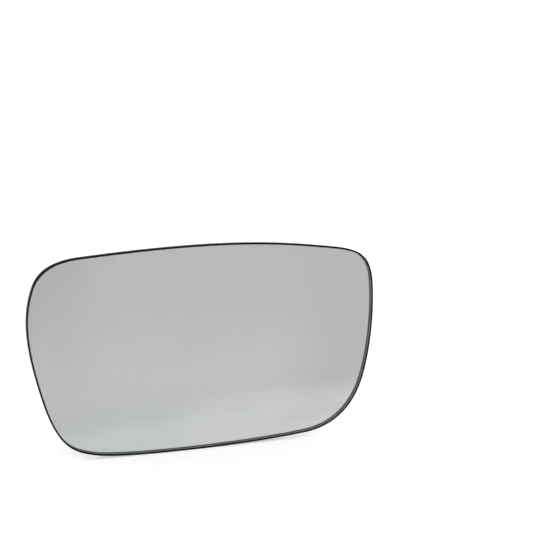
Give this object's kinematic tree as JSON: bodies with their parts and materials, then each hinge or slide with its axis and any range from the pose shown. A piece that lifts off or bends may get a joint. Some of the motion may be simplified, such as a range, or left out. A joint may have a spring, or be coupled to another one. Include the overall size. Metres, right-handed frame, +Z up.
{
  "type": "car door mirror glass",
  "caption": "Handed car door mirror glass with softly rounded corners in a thin dark lip, on a moulded backing plate with a round ring of snap clips.",
  "frame": {"origin": "centre of the clip ring on the back, level with the middle of the clips' gripping faces", "axes": "+Z up as fitted on the car, the glass faces -Y, +Y along the ring's axis towards the mirror's adjuster, +X to the right as one looks at the glass"},
  "size_m": [0.177, 0.0133, 0.1],
  "materials": {
    "mirror_glass": "polished silvered glass with a ground edge",
    "heater_foil": "silvery printed film",
    "backing_plate": "fine satin moulded plastic"
  },
  "bodies": {
    "root": {"mirror_glass": "mirror_glass", "heater_foil": "heater_foil", "backing_plate": "backing_plate"}
  },
  "joints": []
}
